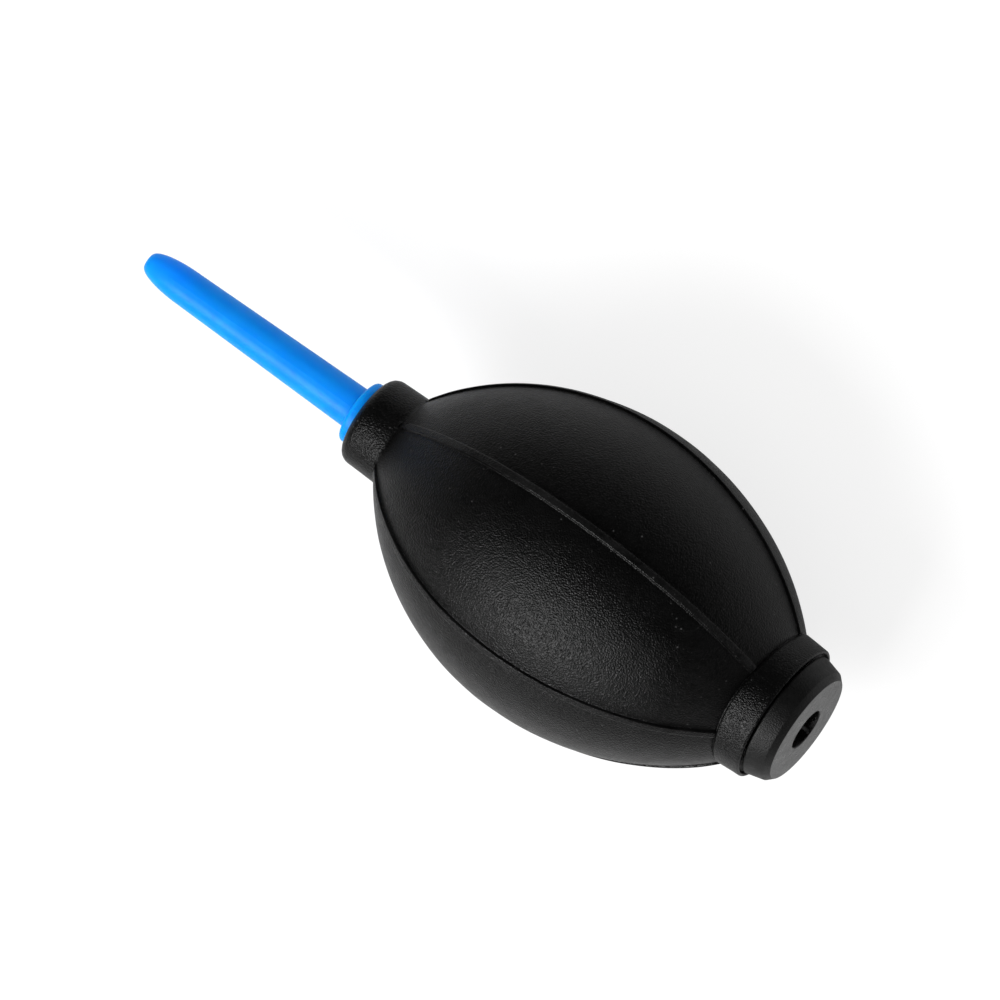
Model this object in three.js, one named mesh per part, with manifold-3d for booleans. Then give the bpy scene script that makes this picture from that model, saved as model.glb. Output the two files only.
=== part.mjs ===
// Dust blower bulb: a hollow ribbed rubber bulb with a plastic nozzle in its neck and an inlet valve
// plug in its rear collar. Millimetres, +Z up. The bulb lies on its belly with its axis along X:
// the nozzle points to -X and the air inlet to +X. X = 0 is the middle of the 150 mm length.

import * as THREE from "three";
import { mergeVertices } from "three/addons/utils/BufferGeometryUtils.js";
import Module from "manifold-3d";

const wasm = await Module();
wasm.setup();

// ---- Driving dimensions ------------------------------------------------------------------------

const LENGTH = 150;
const TIP_X = -LENGTH / 2;
const REAR_X = LENGTH / 2;

// Rubber bulb. The belly is two arcs that meet, both level, at the equator.
const NECK_FRONT_X = TIP_X + 50;
const NECK_R = 8.85;
const NECK_SEAM_R = 9.1;
const NECK_EDGE_R = 2.2;
const NECK_BORE_R = 5;
const EQUATOR_X = 25;
const EQUATOR_R = 30;
const FRONT_ARC_R = 52;
const REAR_ARC_R = 57.5;
const LAND_DROP = 0.055; // the level facet at the equator, which the bulb lies on, is this far inside
const WALL = 2.4;
const COLLAR_SEAM_R = 13.95;
const COLLAR_R = 13.7;
const COLLAR_END_X = 70;
const COLLAR_LIP_R = 0.8;
const COLLAR_BORE_R = 9.3;
const COLLAR_BORE_LENGTH = 8.2;
const BEAD_HEIGHT = 0.5; // rounded bead in the collar bore, which fills a groove of the plug
const BEAD_X = 67;

// Six narrow raised ribs along the belly, spaced so that a smooth panel faces down.
const RIB_COUNT = 6;
const RIB_HEIGHT = 0.55;
const RIB_WIDTH = 1.5;
const RIB_ROOT = 1.1; // how far a rib reaches into the wall
const FIRST_RIB_DEG = 30;

// Nozzle
const TUBE_BASE_R = 4.05;
const TUBE_TIP_R = 3.45;
const NOSE_LENGTH = 9;
const TIP_FACE_R = 1.3;
const FLANGE_R = 6.3;
const FLANGE_THICKNESS = 1.8;
const FLANGE_EDGE_R = 0.75;
const SPIGOT_R = 4.3;
const SPIGOT_BARB_R = 4.7;
const SPIGOT_LENGTH = 12;
const BARB_COUNT = 3;
const BARB_PITCH = 3.2;
const TIP_BORE_R = 0.7;
const CHANNEL_R = 2.3;
const TIP_BORE_LENGTH = 6;
const FACE_GAP = 0.2; // between two pieces that sit face to face

// Valve plug
const HEAD_THICKNESS = 4.7;
const HEAD_R = 11.6;
const HEAD_BASE_R = 12.75;
const HEAD_EDGE_R = 1.1;
const INLET_R = 4;
const PLUG_WALL = 4.4;
const SEAT_R = 5;
const SEAT_HEIGHT = 0.6;
const CHAMBER_R = 7;
const PLUG_R = 9;
const PLUG_END_X = 58;
const PLUG_BARB_R = 9.9;
const GROOVE_DEPTH = 0.5;

// Loose valve disc and the ring that retains it
const DISC_R = 5.8;
const DISC_THICKNESS = 1;
const DISC_GAP = 0.3;
const DISC_TRAVEL = 1.2;
const RETAINER_R = 6.7;
const RETAINER_RING = 1.5;
const RETAINER_THICKNESS = 1.6;
const RETAINER_HUB_R = 1.6;
const SPOKE_COUNT = 3;
const SPOKE_WIDTH = 1.4;

// Facets around the axis
const BELLY_SIDES = 40;
const FINE_SIDES = 32;
const SMALL_SIDES = 24;

// ---- Helpers -----------------------------------------------------------------------------------

/** A point of a profile: x along the bulb's axis, r away from it. */
const at = (x, r) => new THREE.Vector2(r, x);

/** Points of a circular arc about (x, r), between two angles in degrees from +X, both ends included. */
function arc(x, r, radius, from, to, steps) {
  return Array.from({ length: steps + 1 }, (_, i) => {
    const angle = THREE.MathUtils.degToRad(from + ((to - from) * i) / steps);
    return at(x + radius * Math.cos(angle), r + radius * Math.sin(angle));
  });
}

/** Turns a profile about the X axis, with a flat facet facing straight down. */
function turned(profile, sides) {
  const step = (2 * Math.PI) / sides;
  return new THREE.LatheGeometry(profile, sides, step / 2).rotateZ(-Math.PI / 2);
}

/** The same for a profile that goes once around a tube's wall and closes on its first point. */
const turnedTube = (profile, sides) => turned([...profile, profile[0].clone()], sides);

function toSolid(geometry) {
  const bare = geometry.clone();
  bare.deleteAttribute("normal");
  bare.deleteAttribute("uv");
  const merged = mergeVertices(bare, 1e-4);
  return new wasm.Manifold(
    new wasm.Mesh({
      numProp: 3,
      vertProperties: new Float32Array(merged.attributes.position.array),
      triVerts: new Uint32Array(merged.index.array),
    }),
  );
}

function toGeometry(solid) {
  const mesh = solid.getMesh();
  const geometry = new THREE.BufferGeometry();
  geometry.setAttribute("position", new THREE.BufferAttribute(mesh.vertProperties, 3));
  geometry.setIndex(new THREE.BufferAttribute(mesh.triVerts, 1));
  geometry.computeVertexNormals();
  return geometry;
}

function piece(name, geometry, color, roughness) {
  const material = new THREE.MeshStandardMaterial({ color, roughness, metalness: 0 });
  const mesh = new THREE.Mesh(geometry, material);
  mesh.name = name;
  return mesh;
}

// ---- Rubber bulb -------------------------------------------------------------------------------

const FRONT_ARC_CENTRE_R = EQUATOR_R - FRONT_ARC_R;
const REAR_ARC_CENTRE_R = EQUATOR_R - REAR_ARC_R;

/** The angle on the front or rear belly arc, moved outwards by offset, where it is at radius r. */
function angleAtR(r, centreR, arcR, offset, front) {
  const angle = THREE.MathUtils.radToDeg(Math.asin((r - centreR) / (arcR + offset)));
  return front ? 180 - angle : angle;
}

/** Half the angle that the level facet at the equator takes on an arc. */
const landAngle = (arcR) => THREE.MathUtils.radToDeg(Math.acos(1 - LAND_DROP / arcR));

/** The belly's outline from its radius at the front to its radius at the rear, moved outwards. */
function bellyOutline(frontR, rearR, offset, steps) {
  const start = angleAtR(frontR, FRONT_ARC_CENTRE_R, FRONT_ARC_R, offset, true);
  const end = angleAtR(rearR, REAR_ARC_CENTRE_R, REAR_ARC_R, offset, false);
  const frontArc = FRONT_ARC_R + offset;
  const rearArc = REAR_ARC_R + offset;
  return [
    ...arc(EQUATOR_X, FRONT_ARC_CENTRE_R, frontArc, start, 90 + landAngle(frontArc), steps),
    ...arc(EQUATOR_X, REAR_ARC_CENTRE_R, rearArc, 90 - landAngle(rearArc), end, steps),
  ];
}

function ribShape() {
  const crest = bellyOutline(NECK_SEAM_R, COLLAR_SEAM_R, RIB_HEIGHT, 8);
  const root = bellyOutline(NECK_SEAM_R, COLLAR_SEAM_R, -RIB_ROOT, 8);
  const outline = [...crest, ...root.reverse()].map((p) => new THREE.Vector2(p.y, p.x));
  return new THREE.Shape(outline);
}

function makeBulb() {
  const innerFrontR = NECK_BORE_R + 2;
  const innerRearR = COLLAR_R;
  const inner = bellyOutline(innerFrontR, innerRearR, -WALL, 7).reverse();
  const boreEndX = COLLAR_END_X - COLLAR_BORE_LENGTH;
  const bead = [[-1, 0], [-0.5, 1], [0.5, 1], [1, 0]].map(([along, height]) =>
    at(BEAD_X - along, COLLAR_BORE_R - height * BEAD_HEIGHT),
  );
  const wall = turnedTube(
    [
      at(NECK_FRONT_X, NECK_BORE_R),
      ...arc(NECK_FRONT_X + NECK_EDGE_R, NECK_R - NECK_EDGE_R, NECK_EDGE_R, 180, 90, 4),
      ...bellyOutline(NECK_SEAM_R, COLLAR_SEAM_R, 0, 9),
      ...arc(COLLAR_END_X - COLLAR_LIP_R, COLLAR_R - COLLAR_LIP_R, COLLAR_LIP_R, 90, 0, 3),
      at(COLLAR_END_X, COLLAR_BORE_R),
      ...bead,
      at(boreEndX, COLLAR_BORE_R),
      ...inner,
      at(inner[inner.length - 1].y - 0.8, NECK_BORE_R),
    ],
    BELLY_SIDES,
  );
  const rib = new THREE.ExtrudeGeometry(ribShape(), { depth: RIB_WIDTH, bevelEnabled: false })
    .translate(0, 0, -RIB_WIDTH / 2)
    .rotateX(Math.PI / 2);
  let solid = toSolid(wall);
  for (let i = 0; i < RIB_COUNT; i++) {
    const turn = THREE.MathUtils.degToRad(FIRST_RIB_DEG + (360 / RIB_COUNT) * i);
    solid = solid.add(toSolid(rib.clone().rotateX(turn)));
  }
  return piece("rubber_bulb", toGeometry(solid), 0x1b1c1e, 0.55);
}

// ---- Nozzle ------------------------------------------------------------------------------------

/** The bullet-shaped nose: a quarter of an ellipse from the small end face to the tube. */
function noseOutline(steps) {
  return Array.from({ length: steps + 1 }, (_, i) => {
    const t = (Math.PI / 2) * (i / steps);
    const rise = (TUBE_TIP_R - TIP_FACE_R) * Math.sin(t);
    return at(TIP_X + NOSE_LENGTH * (1 - Math.cos(t)), TIP_FACE_R + rise);
  });
}

function makeNozzle() {
  const flangeBackX = NECK_FRONT_X - FACE_GAP;
  const flangeFrontX = flangeBackX - FLANGE_THICKNESS;
  const spigotEndX = flangeBackX + SPIGOT_LENGTH;
  const barbs = [];
  for (let i = 0; i < BARB_COUNT; i++) {
    const x = flangeBackX + 2 + i * BARB_PITCH;
    barbs.push(at(x, SPIGOT_R), at(x, SPIGOT_BARB_R), at(x + 1.6, SPIGOT_R));
  }
  const profile = [
    at(TIP_X, TIP_BORE_R),
    ...noseOutline(8),
    at(flangeFrontX - 0.8, TUBE_BASE_R),
    at(flangeFrontX, TUBE_BASE_R + 0.5),
    ...arc(flangeFrontX + FLANGE_EDGE_R, FLANGE_R - FLANGE_EDGE_R, FLANGE_EDGE_R, 180, 90, 3),
    at(flangeBackX - 0.2, FLANGE_R),
    at(flangeBackX, FLANGE_R - 0.2),
    at(flangeBackX, SPIGOT_R),
    ...barbs,
    at(spigotEndX - 0.6, SPIGOT_R),
    at(spigotEndX, SPIGOT_R - 0.5),
    at(spigotEndX, CHANNEL_R),
    at(TIP_X + TIP_BORE_LENGTH + 6, CHANNEL_R - 0.5),
    at(TIP_X + TIP_BORE_LENGTH, TIP_BORE_R),
  ];
  return piece("nozzle", turnedTube(profile, SMALL_SIDES), 0x1496f0, 0.35);
}

// ---- Valve plug --------------------------------------------------------------------------------

const CHAMBER_X = REAR_X - PLUG_WALL;
const SEAT_X = CHAMBER_X - SEAT_HEIGHT;

function makeValveHousing() {
  const headBackX = REAR_X - HEAD_THICKNESS;
  const profile = [
    at(PLUG_END_X, CHAMBER_R),
    at(PLUG_END_X, PLUG_R - 0.6),
    at(PLUG_END_X + 3, PLUG_BARB_R),
    at(PLUG_END_X + 3.4, PLUG_BARB_R),
    at(PLUG_END_X + 3.4, PLUG_R),
    at(BEAD_X - 1.1, PLUG_R),
    at(BEAD_X - 0.6, PLUG_R - GROOVE_DEPTH),
    at(BEAD_X + 0.6, PLUG_R - GROOVE_DEPTH),
    at(BEAD_X + 1.1, PLUG_R),
    at(headBackX, PLUG_R),
    at(headBackX, HEAD_BASE_R - 0.3),
    at(headBackX + 0.3, HEAD_BASE_R),
    ...arc(REAR_X - HEAD_EDGE_R, HEAD_R - HEAD_EDGE_R, HEAD_EDGE_R, 90, 0, 4),
    at(REAR_X, INLET_R),
    at(SEAT_X, INLET_R),
    at(SEAT_X, SEAT_R - 0.3),
    at(CHAMBER_X, SEAT_R),
    at(CHAMBER_X, CHAMBER_R),
  ];
  return piece("valve_housing", turnedTube(profile, FINE_SIDES), 0x232427, 0.5);
}

function makeValveDisc() {
  const rearX = SEAT_X - DISC_GAP;
  const frontX = rearX - DISC_THICKNESS;
  const profile = [at(frontX, 0), at(frontX, DISC_R), at(rearX, DISC_R), at(rearX, 0)];
  return piece("valve_disc", turned(profile, SMALL_SIDES), 0x3a2a22, 0.7);
}

/** A ring with a hub and spokes, cut from one flat shape by the windows between the spokes. */
function makeValveRetainer() {
  const windowOuterR = RETAINER_R - RETAINER_RING;
  const shape = new THREE.Shape().absarc(0, 0, RETAINER_R, 0, 2 * Math.PI, false);
  const edgeAngle = (r) => Math.asin(SPOKE_WIDTH / 2 / r);
  const sector = (2 * Math.PI) / SPOKE_COUNT;
  for (let i = 0; i < SPOKE_COUNT; i++) {
    const outer = edgeAngle(windowOuterR);
    const inner = edgeAngle(RETAINER_HUB_R);
    const window = new THREE.Path();
    window.absarc(0, 0, windowOuterR, i * sector + outer, (i + 1) * sector - outer, false);
    window.absarc(0, 0, RETAINER_HUB_R, (i + 1) * sector - inner, i * sector + inner, true);
    window.closePath();
    shape.holes.push(window);
  }
  const options = { depth: RETAINER_THICKNESS, bevelEnabled: false, curveSegments: 12 };
  const geometry = new THREE.ExtrudeGeometry(shape, options).rotateY(Math.PI / 2);
  const frontX = SEAT_X - DISC_GAP - DISC_THICKNESS - DISC_TRAVEL - DISC_GAP - RETAINER_THICKNESS;
  return piece("valve_retainer", geometry.translate(frontX, 0, 0), 0xd8d6cf, 0.5);
}

// ---- The object --------------------------------------------------------------------------------

const blower = new THREE.Group();
blower.add(makeBulb(), makeNozzle(), makeValveHousing(), makeValveDisc(), makeValveRetainer());
// The belly's lowest facet is at Z = 0.
blower.position.z = (EQUATOR_R - LAND_DROP) * Math.cos(Math.PI / BELLY_SIDES);
export default blower;
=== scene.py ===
"""Looks of the dust blower bulb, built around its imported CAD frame. Sizes are in millimetres and turned
into metres where a mesh, light or camera is made. X runs along the bulb's axis, from nozzle to inlet."""

import math

import bpy
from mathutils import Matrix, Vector, noise


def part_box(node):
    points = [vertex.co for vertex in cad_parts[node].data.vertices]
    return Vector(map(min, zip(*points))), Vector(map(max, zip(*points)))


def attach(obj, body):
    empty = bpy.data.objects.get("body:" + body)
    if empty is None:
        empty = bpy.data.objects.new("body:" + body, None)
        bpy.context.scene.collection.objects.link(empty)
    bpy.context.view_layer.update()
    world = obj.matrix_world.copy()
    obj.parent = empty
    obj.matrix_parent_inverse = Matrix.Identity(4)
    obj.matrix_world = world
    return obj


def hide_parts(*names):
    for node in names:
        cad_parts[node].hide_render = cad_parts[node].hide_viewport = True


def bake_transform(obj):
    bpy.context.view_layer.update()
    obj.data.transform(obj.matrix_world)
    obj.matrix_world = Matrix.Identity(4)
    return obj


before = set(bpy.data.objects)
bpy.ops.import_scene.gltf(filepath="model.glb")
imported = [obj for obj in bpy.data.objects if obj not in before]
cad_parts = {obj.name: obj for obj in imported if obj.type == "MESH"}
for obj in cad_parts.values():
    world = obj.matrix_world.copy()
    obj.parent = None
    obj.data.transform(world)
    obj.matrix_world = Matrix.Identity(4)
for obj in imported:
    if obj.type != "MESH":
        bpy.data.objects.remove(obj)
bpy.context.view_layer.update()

MM = 0.001


def box_mm(node):
    """The lowest and highest corners of a CAD node, in millimetres."""
    low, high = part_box(node)
    return low / MM, high / MM


bulb_low, bulb_high = box_mm("rubber_bulb")
nozzle_low, nozzle_high = box_mm("nozzle")
plug_low, plug_high = box_mm("valve_housing")
disc_low, disc_high = box_mm("valve_disc")
retainer_low, retainer_high = box_mm("valve_retainer")

AXIS_Z = (bulb_low.z + bulb_high.z) / 2
TIP_X, NECK_X, COLLAR_X, REAR_X = nozzle_low.x, bulb_low.x, bulb_high.x, plug_high.x

# Rubber bulb
EQUATOR_X = NECK_X + 50
EQUATOR_R = AXIS_Z
FRONT_ARC_R = 52
REAR_ARC_R = 57.5
WALL = 2.4
NECK_R = 8.85
NECK_EDGE_R = 2.2
NECK_SEAM_R = 9.1
NECK_SEAM_STEP = 0.35  # from the neck's rear end out to the belly, and as far along the axis
NECK_BORE_R = 4.8
NECK_BORE_BEVEL = 0.25
COLLAR_SEAM_R = 13.95
COLLAR_SEAM_STEP = 0.15  # from the collar's front end out to the belly
COLLAR_R = 13.7
COLLAR_BORE_R = 9.15
GROOVE_DEPTH = 0.25  # of the fine groove between the belly and the collar
GROOVE_FRONT, GROOVE_BACK, COLLAR_START = 0.15, 0.35, 0.6  # how far behind the belly's end
RECESS_DEPTH = 1  # of the recess in the collar's end, behind the plug's head
RECESS_GAP = 0.35  # round the plug's head
HOLLOW_FRONT_R = NECK_BORE_R + 2.2
HOLLOW_REAR_R = COLLAR_R - 0.2
RIB_COUNT = 6
FIRST_RIB = math.radians(30)
RIB_HEIGHT = 0.55
RIB_HALF_WIDTH = 0.72
RIB_REACH = 1.2  # from a rib's middle to where its foot ends
RIB_SHARPNESS = 15  # the higher, the steeper a rib's sides
RIB_END_SHARE = 0.85  # of its height that a rib keeps at the neck and the collar
RIB_FULL_FROM = 3  # how far from the belly's ends it takes its full height
RIB_RUN_OUT = 0.9  # how far a rib runs out onto the neck
MOULD_LINE_RIBS = (0, 3)  # the ribs whose line goes on over the neck and the collar
MOULD_LINE_HEIGHT = 0.07
MOULD_LINE_HALF_WIDTH = 0.16
SEAM_BOW = 1.1  # how far the collar's front edge bows forward at its top and bottom
SEAM_BOW_FRONT, SEAM_BOW_REAR = 14, 4  # how far from that edge the bow dies out
WAVES = ((0.09, 0.055), (0.03, 0.21))  # height, and waves per millimetre, of the skin's unevenness
EVEN_END = 1  # the skin is even this close to its ends

# Nozzle
TUBE_BASE_R = 4.05
TUBE_TIP_R = 3.45
NOSE_LENGTH = 9
TIP_FACE_R = 1.3
JET_BORE_R = 0.7
JET_BORE_LENGTH = 6
CHANNEL_FRONT_R, CHANNEL_R = 1.8, 2.3
CHANNEL_FRONT = 12  # from the tip to where the channel has its front radius
FLANGE_R = (nozzle_high.y - nozzle_low.y) / 2
FLANGE_THICKNESS = 1.85
PRESSED_GAP = 0.05  # between two faces that are pressed together
SPIGOT_R = 4.3
BARB_R = 4.6
BARB_COUNT = 3
BARB_PITCH = 3.2
BARB_LENGTH = 1.6
FIRST_BARB = 2  # behind the flange
NOZZLE_LINE_TURNS = [math.radians(t) for t in (13, 193)]  # where its mould's halves met
NOZZLE_LINE_HEIGHT = 0.035
NOZZLE_LINE_HALF_WIDTH = 0.16
NOZZLE_COLUMNS = 180

# Valve plug
PLUG_HEAD_R = 11.6
PLUG_BASE_R = 12.75
PLUG_R = 9
PLUG_BARB_R = 9.9
PLUG_BARB_LENGTH = 3.4
PLUG_END_R = 8.4
CHAMBER_R = 7
HEAD_WALL = 4.4  # from the flat face to the valve chamber
SEAT_HEIGHT = 0.6
SEAT_R, SEAT_TOP_R = 5, 4.8
INLET_R = 4
INLET_CHAMFER = 0.3
FACE_BEVEL = 1.15
FACE_BEVEL_SLOPE = 0.8  # of the bevel: across the axis for each millimetre along it
FACE_DEPTH = 0.02  # what is this close to the rear end is the flat face
GUIDE_TURNS = [math.radians(-163.5 + 120 * k) for k in range(3)]  # ridges along the inlet's bore
GUIDE_HALF_WIDTH = 0.3
GUIDE_HEIGHT = 0.45
PLUG_COLUMNS = 192

# Valve retainer
RETAINER_RING_R = 5.2  # inside the ring
RETAINER_HUB_R = 1.6
RETAINER_EDGE_R = 0.15
SPOKE_COUNT = 3
SPOKE_HALF_WIDTH = 0.7

# Longest steps between rows of a mesh
FINE_STEP, BELLY_STEP, TURNED_STEP, BORE_STEP, INNER_STEP = 0.6, 0.9, 1.2, 1.5, 2


# ---- Outlines ------------------------------------------------------------------------------------


FILLET_STEP = 12  # degrees of an arc from one of its points to the next


def rounded(corners, close=False):
    """An outline through corners (x, r, fillet radius), with each fillet as an arc."""
    points = []
    count = len(corners)
    for i, (x, r, fillet) in enumerate(corners):
        here = Vector((x, r))
        if fillet == 0 or (not close and i in (0, count - 1)):
            points.append(here)
            continue
        before = (Vector(corners[i - 1][:2]) - here).normalized()
        after = (Vector(corners[(i + 1) % count][:2]) - here).normalized()
        half = before.angle(after) / 2
        centre = here + (before + after).normalized() * fillet / math.sin(half)
        start = here + before * fillet / math.tan(half) - centre
        end = here + after * fillet / math.tan(half) - centre
        steps = max(3, round(math.degrees(start.angle(end)) / FILLET_STEP))
        for k in range(steps + 1):
            points.append(centre + start.slerp(end, k / steps).normalized() * fillet)
    return points


def refined(points, longest):
    """The same outline with no step longer than longest."""
    out = [points[0]]
    for a, b in zip(points, points[1:]):
        steps = max(1, math.ceil((b - a).length / longest))
        out += [a.lerp(b, k / steps) for k in range(1, steps + 1)]
    return out


def belly_outline(front_r, rear_r, offset, step):
    """The belly's two arcs, moved outwards by offset, from one radius in front to another at the rear."""

    def side(arc_r, end_r, way):
        centre_r = EQUATOR_R - arc_r
        reach = math.acos((end_r - centre_r) / (arc_r + offset))
        steps = math.ceil(reach * arc_r / step)
        return [
            Vector((
                EQUATOR_X + way * (arc_r + offset) * math.sin(reach * k / steps),
                centre_r + (arc_r + offset) * math.cos(reach * k / steps),
            ))
            for k in range(steps + 1)
        ]

    front = side(FRONT_ARC_R, front_r, -1)
    return front[::-1] + side(REAR_ARC_R, rear_r, 1)[1:]


# ---- Meshes --------------------------------------------------------------------------------------


def on_axis(x, r, angle):
    """A point at x and radius r, at an angle from straight up towards +Y, in metres."""
    return Vector((x, r * math.sin(angle), AXIS_Z + r * math.cos(angle))) * MM


def new_piece(name, vertices, faces, smooth_angle=35):
    """A smooth mesh whose edges of more than smooth_angle, in degrees, stay sharp. Its attribute rest
    keeps where each point was made, so that a material stays on the piece as it moves or stretches."""
    mesh = bpy.data.meshes.new(name)
    mesh.from_pydata(vertices, [], faces)
    mesh.validate()
    mesh.shade_smooth()
    mesh.set_sharp_from_angle(angle=math.radians(smooth_angle))
    rest = mesh.attributes.new("rest", "FLOAT_VECTOR", "POINT")
    rest.data.foreach_set("vector", [c for v in vertices for c in v])
    piece = bpy.data.objects.new(name, mesh)
    bpy.context.scene.collection.objects.link(piece)
    return piece


def set_mask(piece, name, values):
    """A value from 0 to 1 at each point, which the piece's material reads by name."""
    piece.data.attributes.new(name, "FLOAT", "POINT").data.foreach_set("value", values)


def ring_faces(rows, columns, closed):
    """Quads of a grid that goes once around in its columns, and in its rows too where it is closed."""
    faces = []
    for i in range(rows if closed else rows - 1):
        j = (i + 1) % rows
        for k in range(columns):
            n = (k + 1) % columns
            faces.append((i * columns + k, i * columns + n, j * columns + n, j * columns + k))
    return faces


def full_turn(columns):
    return [2 * math.pi * k / columns for k in range(columns)]


def turned_tube(name, outline, columns, smooth_angle, raised):
    """A closed tube wall: an outline that closes on itself, turned about the axis. raised says how much
    further out a point of it lies at an angle."""
    vertices = []
    for p in outline:
        for angle in full_turn(columns):
            vertices.append(on_axis(p.x, p.y + raised(p, angle), angle))
    return new_piece(name, vertices, ring_faces(len(outline), columns, True), smooth_angle)


def turned_disc(name, outline, columns):
    """A solid of revolution whose outline starts and ends on the axis."""
    inner = outline[1:-1]
    vertices = [on_axis(p.x, p.y, angle) for p in inner for angle in full_turn(columns)]
    faces = ring_faces(len(inner), columns, False)
    last = (len(inner) - 1) * columns
    vertices += [on_axis(outline[0].x, 0, 0), on_axis(outline[-1].x, 0, 0)]
    first_pole, last_pole = len(vertices) - 2, len(vertices) - 1
    for k in range(columns):
        n = (k + 1) % columns
        faces += [(first_pole, n, k), (last_pole, last + k, last + n)]
    return new_piece(name, vertices, faces)


# ---- Rubber bulb ---------------------------------------------------------------------------------


def bulb_rows():
    """Once around the rubber wall, for each row: its point, its share of a rib's height, 1 on the outside
    of the neck and the collar, and 1 on the inside."""
    belly = belly_outline(NECK_SEAM_R + NECK_SEAM_STEP, COLLAR_SEAM_R + COLLAR_SEAM_STEP, 0, BELLY_STEP)
    belly_start, belly_end = belly[0].x, belly[-1].x
    neck = refined(
        rounded([
            (NECK_X + NECK_BORE_BEVEL, NECK_BORE_R, 0),
            (NECK_X, NECK_BORE_R + NECK_BORE_BEVEL, 0),
            (NECK_X, NECK_R, NECK_EDGE_R),
            (belly_start - NECK_SEAM_STEP, NECK_SEAM_R, 0),
        ]),
        FINE_STEP,
    )
    recess_x = COLLAR_X - RECESS_DEPTH
    collar = refined(
        rounded([
            (belly_end + GROOVE_FRONT, COLLAR_SEAM_R - GROOVE_DEPTH, 0),
            (belly_end + GROOVE_BACK, COLLAR_SEAM_R - GROOVE_DEPTH, 0.1),
            (belly_end + COLLAR_START, COLLAR_SEAM_R + 0.02, 0.2),
            (COLLAR_X, COLLAR_R, 0.4),
            (COLLAR_X, PLUG_BASE_R + RECESS_GAP, 0.25),
            (recess_x, PLUG_BASE_R + RECESS_GAP - 0.05, 0.15),
            (recess_x, COLLAR_BORE_R, 0),
        ]),
        FINE_STEP,
    )
    inner_belly = belly_outline(HOLLOW_FRONT_R, HOLLOW_REAR_R, -WALL, INNER_STEP)[::-1]
    collar_bore = [Vector((recess_x - 0.3, COLLAR_BORE_R)), Vector((inner_belly[0].x, COLLAR_BORE_R))]
    neck_bore = [Vector((inner_belly[-1].x - 0.8, NECK_BORE_R)), Vector((NECK_X + 1, NECK_BORE_R))]
    inside = refined(collar_bore, BORE_STEP) + inner_belly + refined(neck_bore, BORE_STEP)
    rows = []
    for p in neck:
        past_belly = (belly_start - p.x) / RIB_RUN_OUT
        rows.append((p, RIB_END_SHARE * max(0, 1 - past_belly), 1, 0))
    for p in belly:
        from_end = min(p.x - belly_start, belly_end - p.x)
        rows.append((p, RIB_END_SHARE + (1 - RIB_END_SHARE) * min(1, from_end / RIB_FULL_FROM), 0, 0))
    rows += [(p, 0, 1, 0) for p in collar]
    rows += [(p, 0, 0, 1) for p in inside]
    return rows


def rib_profile(across):
    """Share of a rib's height at a distance across it: a flat crest with rounded edges, steep sides."""
    return 1 / (1 + (abs(across) / RIB_HALF_WIDTH) ** RIB_SHARPNESS)


def bulb_columns(r):
    """(angle, distance from the nearest rib's middle, that rib's number) of each column at radius r."""
    crest_steps, foot_steps, panel_steps = 6, 7, 26
    crowding = 1.6  # columns crowd towards a crest's edge, from both sides
    foot = RIB_REACH - RIB_HALF_WIDTH
    half_rib = [RIB_HALF_WIDTH * (1 - (1 - k / crest_steps) ** crowding) for k in range(crest_steps + 1)]
    half_rib += [RIB_HALF_WIDTH + foot * (k / foot_steps) ** crowding for k in range(1, foot_steps + 1)]
    whole_rib = [-d for d in half_rib[:0:-1]] + half_rib
    sector = 2 * math.pi / RIB_COUNT
    reach = min(RIB_REACH / r, 0.3 * sector)  # half a rib as an angle, kept clear of its neighbours
    columns = []
    for rib in range(RIB_COUNT):
        middle = FIRST_RIB + rib * sector
        for across in whole_rib:
            columns.append((middle + reach * across / RIB_REACH, across, rib))
        for k in range(1, panel_steps):
            angle = middle + reach + (sector - 2 * reach) * k / panel_steps
            columns.append((angle, sector * r, rib))
    return columns


def normals_of(points):
    """Unit normals of an outline, pointing away from the axis on its outer run."""
    found = []
    for i in range(len(points)):
        along = points[(i + 1) % len(points)] - points[i - 1]
        found.append(Vector((-along.y, along.x)).normalized())
    return found


def seam_shift(x, seam_x, angle):
    """How far forward the outside moves at x, so that the collar's front edge, at seam_x, bows."""
    near = 1 + (x - seam_x) / SEAM_BOW_FRONT if x < seam_x else 1 - (x - seam_x) / SEAM_BOW_REAR
    near = max(0, near)
    return SEAM_BOW * math.cos(angle) ** 2 * near * near * (3 - 2 * near)


def unevenness(x, r, angle):
    """How far the skin stands out from its true shape."""
    if x < NECK_X + EVEN_END or x > COLLAR_X - EVEN_END:
        return 0
    spot = on_axis(x, r, angle) / MM
    return sum(height * noise.noise(spot * density) for height, density in WAVES)


def make_bulb():
    rows = bulb_rows()
    seam_x = next(p.x for p, _, plain, _ in rows if p.x > EQUATOR_X and plain)
    normals = normals_of([row[0] for row in rows])
    vertices, crest = [], []
    for (p, rib, plain, inner), normal in zip(rows, normals):
        outwards = Vector((0, 1)) if plain else normal
        for angle, across, number in bulb_columns(p.y):
            height = RIB_HEIGHT * rib * rib_profile(across)
            if plain and number in MOULD_LINE_RIBS:
                line = MOULD_LINE_HEIGHT * math.exp(-((across / MOULD_LINE_HALF_WIDTH) ** 2))
                height = max(height, line)
            lift = outwards * height
            forward = 0
            if not inner:
                lift += normal * unevenness(p.x, p.y, angle)
                forward = seam_shift(p.x, seam_x, angle)
            vertices.append(on_axis(p.x + lift.x - forward, p.y + lift.y, angle))
            crest.append(rib * rib_profile(across))
    columns = len(bulb_columns(1))
    piece = new_piece("rubber_bulb_skin", vertices, ring_faces(len(rows), columns, True), 50)
    set_mask(piece, "crest", crest)
    return piece


# ---- Nozzle --------------------------------------------------------------------------------------


LINE_SHARPNESS = 8  # the higher, the steeper the sides of a lengthwise line


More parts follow.
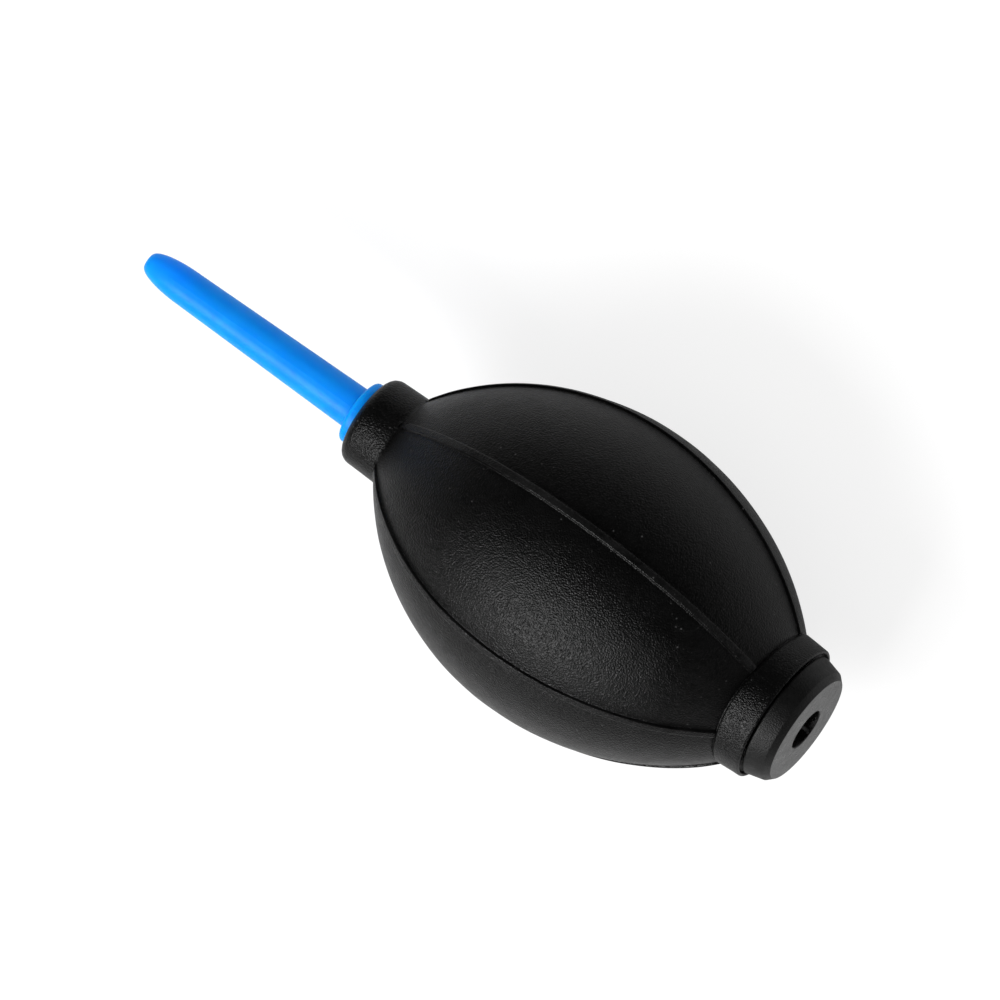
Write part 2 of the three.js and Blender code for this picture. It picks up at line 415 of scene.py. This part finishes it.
def near_line(p, angle, lines, half_width):
    """1 on the nearest of some lengthwise lines, falling to 0 beyond their half width."""
    turn = min(abs(math.remainder(angle - line, 2 * math.pi)) for line in lines)
    return 1 / (1 + (turn * p.y / half_width) ** LINE_SHARPNESS)


def mould_line(p, angle):
    """Height of the nozzle's mould lines, on its outside in front of the neck."""
    if p.y < TUBE_TIP_R - 0.2 or p.x > NECK_X:
        return 0
    return NOZZLE_LINE_HEIGHT * near_line(p, angle, NOZZLE_LINE_TURNS, NOZZLE_LINE_HALF_WIDTH)


def make_nozzle():
    nose_steps = 14
    nose = []
    for k in range(nose_steps + 1):
        turn = math.pi / 2 * k / nose_steps
        x = TIP_X + NOSE_LENGTH * (1 - math.cos(turn))
        nose.append(Vector((x, TIP_FACE_R + (TUBE_TIP_R - TIP_FACE_R) * math.sin(turn))))
    back = NECK_X - PRESSED_GAP
    front = back - FLANGE_THICKNESS
    spigot_end = nozzle_high.x
    barbs = []
    for k in range(BARB_COUNT):
        x = back + FIRST_BARB + k * BARB_PITCH
        barbs += [(x, SPIGOT_R, 0.1), (x, BARB_R, 0.1), (x + BARB_LENGTH, SPIGOT_R, 0.2)]
    body = rounded([
        (nose[-1].x + 1, TUBE_TIP_R + 0.01, 0),
        (front, TUBE_BASE_R, 0.5),
        (front, FLANGE_R, 0.75),
        (back, FLANGE_R, 0.3),
        (back, SPIGOT_R, 0.2),
        *barbs,
        (spigot_end, SPIGOT_R, 0.5),
        (spigot_end, CHANNEL_R, 0.3),
        (TIP_X + CHANNEL_FRONT, CHANNEL_FRONT_R, 2),
        (TIP_X + JET_BORE_LENGTH, JET_BORE_R, 1),
        (TIP_X, JET_BORE_R, 0),
    ])
    rim = rounded([
        (TIP_X + 0.25, JET_BORE_R, 0),
        (TIP_X, JET_BORE_R + 0.15, 0.1),
        (TIP_X, TIP_FACE_R - 0.15, 0),
    ])
    outline = refined(rim + nose[1:] + body[:-1], TURNED_STEP)
    return turned_tube("nozzle_body", outline, NOZZLE_COLUMNS, 40, mould_line)


# ---- Valve plug ----------------------------------------------------------------------------------


def guide_share(p, angle):
    """1 on the ridges along the inlet's bore, which start a little below the face."""
    if p.y > INLET_R + 0.01 or p.x > REAR_X - 1.5 * INLET_CHAMFER:
        return 0
    return near_line(p, angle, GUIDE_TURNS, GUIDE_HALF_WIDTH)


def guide_ridge(p, angle):
    """How far out the bore's wall moves for the ridges: below 0, as they stand in from it."""
    return -GUIDE_HEIGHT * guide_share(p, angle)


def make_plug():
    head_back = COLLAR_X + PRESSED_GAP
    wall_x = REAR_X - HEAD_WALL
    seat_x = wall_x - SEAT_HEIGHT
    barb_x = plug_low.x + PLUG_BARB_LENGTH
    outline = rounded(
        [
            (plug_low.x, CHAMBER_R, 0.3),
            (plug_low.x, PLUG_END_R, 0.3),
            (barb_x - 0.4, PLUG_BARB_R, 0.2),
            (barb_x, PLUG_BARB_R, 0.1),
            (barb_x, PLUG_R, 0.15),
            (head_back, PLUG_R, 0.2),
            (head_back, PLUG_BASE_R, 0.4),
            (REAR_X - FACE_BEVEL, PLUG_HEAD_R + 0.17, 0.4),
            (REAR_X, PLUG_HEAD_R - FACE_BEVEL_SLOPE * FACE_BEVEL, 0.3),
            (REAR_X, INLET_R, INLET_CHAMFER),
            (seat_x, INLET_R, 0.15),
            (seat_x, SEAT_TOP_R, 0.15),
            (wall_x, SEAT_R, 0.15),
            (wall_x, CHAMBER_R, 0.3),
        ],
        close=True,
    )
    rows = refined(outline, TURNED_STEP)
    piece = turned_tube("valve_plug", rows, PLUG_COLUMNS, 35, guide_ridge)
    face, bore = [], []
    for p in rows:
        flat = p.x > REAR_X - FACE_DEPTH
        for angle in full_turn(PLUG_COLUMNS):
            # The face mask, 1 on the flat face and on the inlet's ridges, marks where the material paints
            # a pale reflection and glint.
            face.append(1 if flat else guide_share(p, angle))
            # The bore mask marks the inside of the plug, which the material paints darker as shade.
            bore.append(0 if flat or p.y > CHAMBER_R + 0.05 else 1)
    set_mask(piece, "face", face)
    set_mask(piece, "bore", bore)
    return piece


def make_disc():
    front, back = disc_low.x, disc_high.x
    r = (disc_high.y - disc_low.y) / 2
    outline = rounded([(front, 0, 0), (front, r, 0.3), (back, r, 0.3), (back, 0, 0)])
    return turned_disc("valve_flap", outline, 64)


# ---- Valve retainer ------------------------------------------------------------------------------


def circle_arc(r, start, end, steps):
    turns = [start + (end - start) * k / steps for k in range(steps + 1)]
    return [(r * math.cos(t), r * math.sin(t)) for t in turns]


def retainer_loops():
    """The outline of the ring, and of the openings between its spokes, without their rounded edges."""
    outside_r = (retainer_high.y - retainer_low.y) / 2 - RETAINER_EDGE_R
    opening_r = RETAINER_RING_R + RETAINER_EDGE_R
    hub_r = RETAINER_HUB_R - RETAINER_EDGE_R
    half_spoke = SPOKE_HALF_WIDTH - RETAINER_EDGE_R
    at_ring, at_hub = math.asin(half_spoke / opening_r), math.asin(half_spoke / hub_r)
    loops = [circle_arc(outside_r, 0, 2 * math.pi, 96)[:-1]]
    sector = 2 * math.pi / SPOKE_COUNT
    for i in range(SPOKE_COUNT):
        start, end = i * sector, (i + 1) * sector
        ring_side = circle_arc(opening_r, start + at_ring, end - at_ring, 24)
        hub_side = circle_arc(hub_r, end - at_hub, start + at_hub, 6)
        loops.append(ring_side + hub_side)
    return loops


def make_retainer():
    """A ring and a hub joined by spokes, as a filled curve with softly rounded edges."""
    thickness = retainer_high.x - retainer_low.x
    curve = bpy.data.curves.new("valve_guard", "CURVE")
    curve.dimensions = "2D"
    curve.fill_mode = "BOTH"
    curve.extrude = (thickness / 2 - RETAINER_EDGE_R) * MM
    curve.bevel_depth = RETAINER_EDGE_R * MM
    curve.bevel_resolution = 2
    for loop in retainer_loops():
        spline = curve.splines.new("POLY")
        spline.points.add(len(loop) - 1)
        for point, (a, b) in zip(spline.points, loop):
            point.co = (a * MM, b * MM, 0, 1)
        spline.use_cyclic_u = True
    flat = bpy.data.objects.new("valve_guard", curve)
    bpy.context.scene.collection.objects.link(flat)
    flat.rotation_euler = (0, math.pi / 2, 0)
    flat.location = Vector(((retainer_low.x + retainer_high.x) / 2, 0, AXIS_Z)) * MM
    bpy.context.view_layer.update()
    evaluated = flat.evaluated_get(bpy.context.evaluated_depsgraph_get())
    mesh = bpy.data.meshes.new_from_object(evaluated)
    mesh.transform(flat.matrix_world)
    bpy.data.objects.remove(flat)
    vertices = [v.co.copy() for v in mesh.vertices]
    faces = [tuple(polygon.vertices) for polygon in mesh.polygons]
    bpy.data.meshes.remove(mesh)
    return new_piece("valve_guard", vertices, faces)


# ---- Materials -----------------------------------------------------------------------------------


class Nodes:
    """A short way to write a material's node tree."""

    def __init__(self, name):
        self.material = bpy.data.materials.new(name)
        self.material.use_nodes = True
        self.tree = self.material.node_tree
        self.shader = self.tree.nodes["Principled BSDF"]
        self.place = self.add("ShaderNodeAttribute", attribute_name="rest").outputs["Vector"]

    def add(self, kind, inputs=None, **settings):
        """A new node with its inputs linked or set, and its own settings."""
        node = self.tree.nodes.new(kind)
        for key, value in settings.items():
            setattr(node, key, value)
        for key, value in (inputs or {}).items():
            self.put(value, node.inputs[key])
        return node

    def put(self, value, socket):
        if isinstance(value, bpy.types.NodeSocket):
            self.tree.links.new(value, socket)
        else:
            socket.default_value = value

    def mask(self, name):
        return self.add("ShaderNodeAttribute", attribute_name=name).outputs["Fac"]

    def noise(self, size_mm, detail=3, roughness=0.5):
        """A noise whose blobs are about size_mm across, from 0 to 1."""
        scale = 1 / (size_mm * MM)
        inputs = {"Vector": self.place, "Scale": scale, "Detail": detail, "Roughness": roughness}
        return self.add("ShaderNodeTexNoise", inputs).outputs["Fac"]

    def cells(self, size_mm, place=None):
        """Cells about size_mm across, each with its distance from its middle and a random colour."""
        inputs = {"Vector": place or self.place, "Scale": 1 / (size_mm * MM)}
        return self.add("ShaderNodeTexVoronoi", inputs)

    def fit(self, value, low, high, to_low=0.0, to_high=1.0):
        """The value with low to high stretched to to_low to to_high, and kept within them."""
        inputs = {"Value": value, "From Min": low, "From Max": high, "To Min": to_low, "To Max": to_high}
        return self.add("ShaderNodeMapRange", inputs).outputs["Result"]

    def math(self, operation, a, b):
        return self.add("ShaderNodeMath", {0: a, 1: b}, operation=operation).outputs[0]

    def mix(self, share, a, b):
        node = self.add("ShaderNodeMix", data_type="RGBA")
        for value, index in ((share, 0), (a, 6), (b, 7)):
            self.put(value, node.inputs[index])
        return node.outputs[2]

    def bump(self, height, distance_mm, strength=1.0, normal=None):
        inputs = {"Height": height, "Distance": distance_mm * MM, "Strength": strength}
        if normal is not None:
            inputs["Normal"] = normal
        return self.add("ShaderNodeBump", inputs).outputs["Normal"]

    def dust(self, spacing_mm, size, rarity):
        """Sparse round specks: size is their share of the spacing, and rarity the share left out."""
        cells = self.cells(spacing_mm)
        kept = self.fit(cells.outputs["Color"], rarity, rarity + 0.01)
        return self.math("MULTIPLY", self.fit(cells.outputs["Distance"], size * 0.7, size, 1, 0), kept)

    def scuffs(self, length_mm, turn_degrees):
        """Sparse short fine marks, all in one direction, ten times as long as wide."""
        turn = (0, 0, math.radians(turn_degrees))
        inputs = {"Vector": self.place, "Rotation": turn, "Scale": (0.1, 1, 1)}
        place = self.add("ShaderNodeMapping", inputs).outputs["Vector"]
        cells = self.cells(0.1 * length_mm, place)
        line = self.fit(cells.outputs["Distance"], 0.08, 0.16, 1, 0)
        return self.math("MULTIPLY", line, self.fit(cells.outputs["Color"], 0.97, 0.98))

    def finish(self, **inputs):
        """Set the shader's inputs, named with _ for each space, and give back the material."""
        for key, value in inputs.items():
            self.put(value, self.shader.inputs[key.replace("_", " ")])
        return self.material


def grey(value):
    return (value, value, value, 1)


def rubber_colour(n, crest):
    """Black rubber: mottled, worn paler on the ribs' crests, and lightly dusty and scuffed."""
    mottle = n.fit(n.noise(9, 4, 0.6), 0.3, 0.7)
    base = n.mix(mottle, grey(0.0014), grey(0.0024))
    worn = n.math("MULTIPLY", crest, n.fit(n.noise(9, 4, 0.7), 0.35, 0.75))
    base = n.mix(n.math("MULTIPLY", worn, 0.35), base, grey(0.02))
    base = n.mix(n.dust(2.1, 0.09, 0.4), base, grey(0.045))
    base = n.mix(n.dust(1.1, 0.12, 0.75), base, grey(0.022))
    return n.mix(n.math("MAXIMUM", n.scuffs(9, 25), n.scuffs(7, -50)), base, grey(0.03))


def rubber_material():
    """Finely pebbled black rubber, smoother and shinier along the edges of its ribs."""
    n = Nodes("black_rubber")
    crest = n.mask("crest")
    rib_edge = n.math("MULTIPLY", n.fit(crest, 0.1, 0.5), n.fit(crest, 0.97, 0.8))
    roughness = n.fit(n.noise(2.5, 4, 0.6), 0.3, 0.7, 0.28, 0.38)
    pebbles = n.fit(n.cells(0.34).outputs["Distance"], 0, 0.75, 1, 0)
    grain = n.math("ADD", pebbles, n.noise(0.22, 2))
    dents = n.bump(n.noise(2.4, 2), 0.03, 0.5)
    return n.finish(
        Base_Color=rubber_colour(n, crest),
        Roughness=n.math("SUBTRACT", roughness, n.math("MULTIPLY", rib_edge, 0.16)),
        Normal=n.bump(grain, 0.075, n.fit(rib_edge, 0, 1, 1, 0.25), dents),
        Specular_IOR_Level=0.22,
    )


def nozzle_material():
    """Slightly see-through blue plastic."""
    n = Nodes("blue_plastic")
    cloud = n.fit(n.noise(6, 3), 0.3, 0.7)
    base = n.mix(cloud, (0.003, 0.21, 0.93, 1), (0.005, 0.237, 0.98, 1))
    roughness = n.fit(n.noise(1.2, 4, 0.6), 0.3, 0.7, 0.33, 0.43)
    material = n.finish(
        Base_Color=base,
        Roughness=roughness,
        Normal=n.bump(n.noise(0.5, 3), 0.008, 0.6),
        Subsurface_Weight=1,
        Subsurface_Scale=0.008,
        Specular_IOR_Level=0.16,
    )
    n.shader.inputs["Subsurface Radius"].default_value = (0.15, 0.6, 1)
    return material


def plug_material():
    """Matt black plastic. The flat face and the ridges in the inlet are painted paler, a painted
    reflection and a painted glint, and the bore is painted darker, painted shade; the face and the bore
    are smoother.
    """
    n = Nodes("black_plastic")
    face, bore = n.mask("face"), n.mask("bore")
    mottle = n.fit(n.noise(1.4, 4, 0.65), 0.3, 0.7)
    base = n.mix(mottle, grey(0.002), grey(0.004))
    # Painted shade: inside the bore and the chamber the plastic is painted at the darkest of its mottle.
    base = n.mix(bore, base, grey(0.002))
    # Painted reflection: the flat face is painted pale grey for the light it mirrors at a grazing angle,
    # and the ridges in the inlet for a painted glint on them.
    base = n.mix(face, base, n.mix(mottle, grey(0.04), grey(0.074)))
    roughness = n.fit(n.noise(1.6, 4, 0.6), 0.3, 0.7, 0.4, 0.52)
    smoother = n.math("MAXIMUM", bore, face)
    roughness = n.math("SUBTRACT", roughness, n.math("MULTIPLY", smoother, 0.15))
    return n.finish(
        Base_Color=base,
        Roughness=roughness,
        Normal=n.bump(n.noise(0.26, 3), 0.11, 1.0),
        Specular_IOR_Level=0.31,
    )


def disc_material():
    n = Nodes("valve_rubber")
    base = n.mix(n.noise(2, 3), (0.1, 0.028, 0.018, 1), (0.14, 0.04, 0.026, 1))
    return n.finish(Base_Color=base, Roughness=0.6, Normal=n.bump(n.noise(0.4, 3), 0.01))


def retainer_material():
    n = Nodes("white_plastic")
    base = n.mix(n.noise(3, 3), (0.62, 0.6, 0.55, 1), (0.7, 0.68, 0.62, 1))
    return n.finish(Base_Color=base, Roughness=0.45, Normal=n.bump(n.noise(0.5, 3), 0.01))


# ---- Stage ---------------------------------------------------------------------------------------

# The camera's direction from the object: this far out of the plane across the axis, towards the inlet,
# and turned this far about the axis from straight up, towards +Y.
CAMERA_TILT = math.radians(14)
CAMERA_TURN = math.radians(16.5)
AXIS_SLOPE = math.radians(35.5)  # of the bulb's axis in the picture, down to the right
CAMERA_DISTANCE = 5000
FIELD_WIDTH = 180  # width of the picture at the object
AIM_RIGHT, AIM_UP = -15.5, 13.1  # from the belly's middle to the middle of the picture
SENSOR = 36

KEY_DIRECTION = Vector((-0.07, -0.6, 0.8))  # from the belly's middle to the light
KEY_DISTANCE = 900
KEY_WIDTH, KEY_HEIGHT = 560, 360
KEY_RADIANCE = 14
FLOOR_HALF_SIDE = 6000

around = Vector((0, math.sin(CAMERA_TURN), math.cos(CAMERA_TURN)))
to_camera = Vector((math.sin(CAMERA_TILT), 0, 0)) + math.cos(CAMERA_TILT) * around
axis_in_picture = (Vector((1, 0, 0)) - to_camera.x * to_camera).normalized()
across_picture = to_camera.cross(axis_in_picture)
picture_right = math.cos(AXIS_SLOPE) * axis_in_picture + math.sin(AXIS_SLOPE) * across_picture
picture_up = to_camera.cross(picture_right)
belly_middle = Vector((EQUATOR_X, 0, AXIS_Z))


def place_camera():
    data = bpy.data.cameras.new("camera")
    data.sensor_width = SENSOR
    data.lens = SENSOR * CAMERA_DISTANCE / FIELD_WIDTH
    camera = bpy.data.objects.new("camera", data)
    aim = belly_middle + AIM_RIGHT * picture_right + AIM_UP * picture_up
    turn = camera.matrix_world.copy()
    for column, way in enumerate((picture_right, picture_up, to_camera)):
        for row in range(3):
            turn[row][column] = way[row]
    turn.translation = (aim + CAMERA_DISTANCE * to_camera) * MM
    camera.matrix_world = turn
    bpy.context.scene.collection.objects.link(camera)
    bpy.context.scene.camera = camera


def add_key_light():
    """One soft light that faces the belly, whose energy goes with its size."""
    data = bpy.data.lights.new("key", "AREA")
    data.shape = "RECTANGLE"
    data.size = KEY_WIDTH * MM
    data.size_y = KEY_HEIGHT * MM
    data.energy = KEY_RADIANCE * math.pi * data.size * data.size_y
    light = bpy.data.objects.new("key", data)
    light.location = (belly_middle + KEY_DIRECTION.normalized() * KEY_DISTANCE) * MM
    light.rotation_euler = KEY_DIRECTION.to_track_quat("Z", "Y").to_euler()
    bpy.context.scene.collection.objects.link(light)


def make_world():
    """An even pale surround. Glossy rays miss it, so that black rubber mirrors only the key light and the
    floor, and the panels that face away stay dark."""
    world = bpy.data.worlds.new("studio")
    world.use_nodes = True
    nodes, links = world.node_tree.nodes, world.node_tree.links
    path = nodes.new("ShaderNodeLightPath")
    mix = nodes.new("ShaderNodeMix")
    mix.data_type = "RGBA"
    mix.inputs[6].default_value = grey(0.85)
    mix.inputs[7].default_value = grey(0.9)
    links.new(path.outputs["Is Camera Ray"], mix.inputs[0])
    links.new(mix.outputs[2], nodes["Background"].inputs["Color"])
    world.cycles_visibility.glossy = False
    bpy.context.scene.world = world


def floor_material():
    """Mid grey where it lights the bulb from below; to the camera alone it glows, so that it is white and
    the shadow on it faint."""
    n = Nodes("pale_floor")
    place = n.add("ShaderNodeNewGeometry").outputs["Position"]
    cloud = n.add("ShaderNodeTexNoise", {"Vector": place, "Scale": 2.0}).outputs["Fac"]
    seen = n.add("ShaderNodeLightPath").outputs["Is Camera Ray"]
    base = n.mix(seen, n.mix(cloud, grey(0.43), grey(0.45)), grey(0.21))
    glow = n.math("MULTIPLY", seen, 0.76)
    n.shader.inputs["Emission Color"].default_value = grey(1)
    return n.finish(Base_Color=base, Roughness=0.9, Emission_Strength=glow)


def make_floor():
    side = FLOOR_HALF_SIDE * MM
    mesh = bpy.data.meshes.new("floor")
    corners = [(-side, -side, 0), (side, -side, 0), (side, side, 0), (-side, side, 0)]
    mesh.from_pydata(corners, [], [(0, 1, 2, 3)])
    mesh.materials.append(floor_material())
    floor = bpy.data.objects.new("floor", mesh)
    bpy.context.scene.collection.objects.link(floor)


place_camera()
make_floor()
make_world()
add_key_light()
bpy.context.scene.view_settings.view_transform = "Standard"

# ---- Pieces --------------------------------------------------------------------------------------

bulb = make_bulb()
bulb.data.materials.append(rubber_material())
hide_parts("rubber_bulb")
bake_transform(bulb)

for make, material, slot, node, body in (
    (make_nozzle, nozzle_material, "nozzle_plastic", "nozzle", "nozzle"),
    (make_plug, plug_material, "plug_plastic", "valve_housing", "valve_end"),
    (make_retainer, retainer_material, "retainer_plastic", "valve_retainer", "valve_end"),
    (make_disc, disc_material, "disc_rubber", "valve_disc", "valve_disc"),
):
    piece = make()
    piece.data.materials.append(material())
    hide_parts(node)
    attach(piece, body)
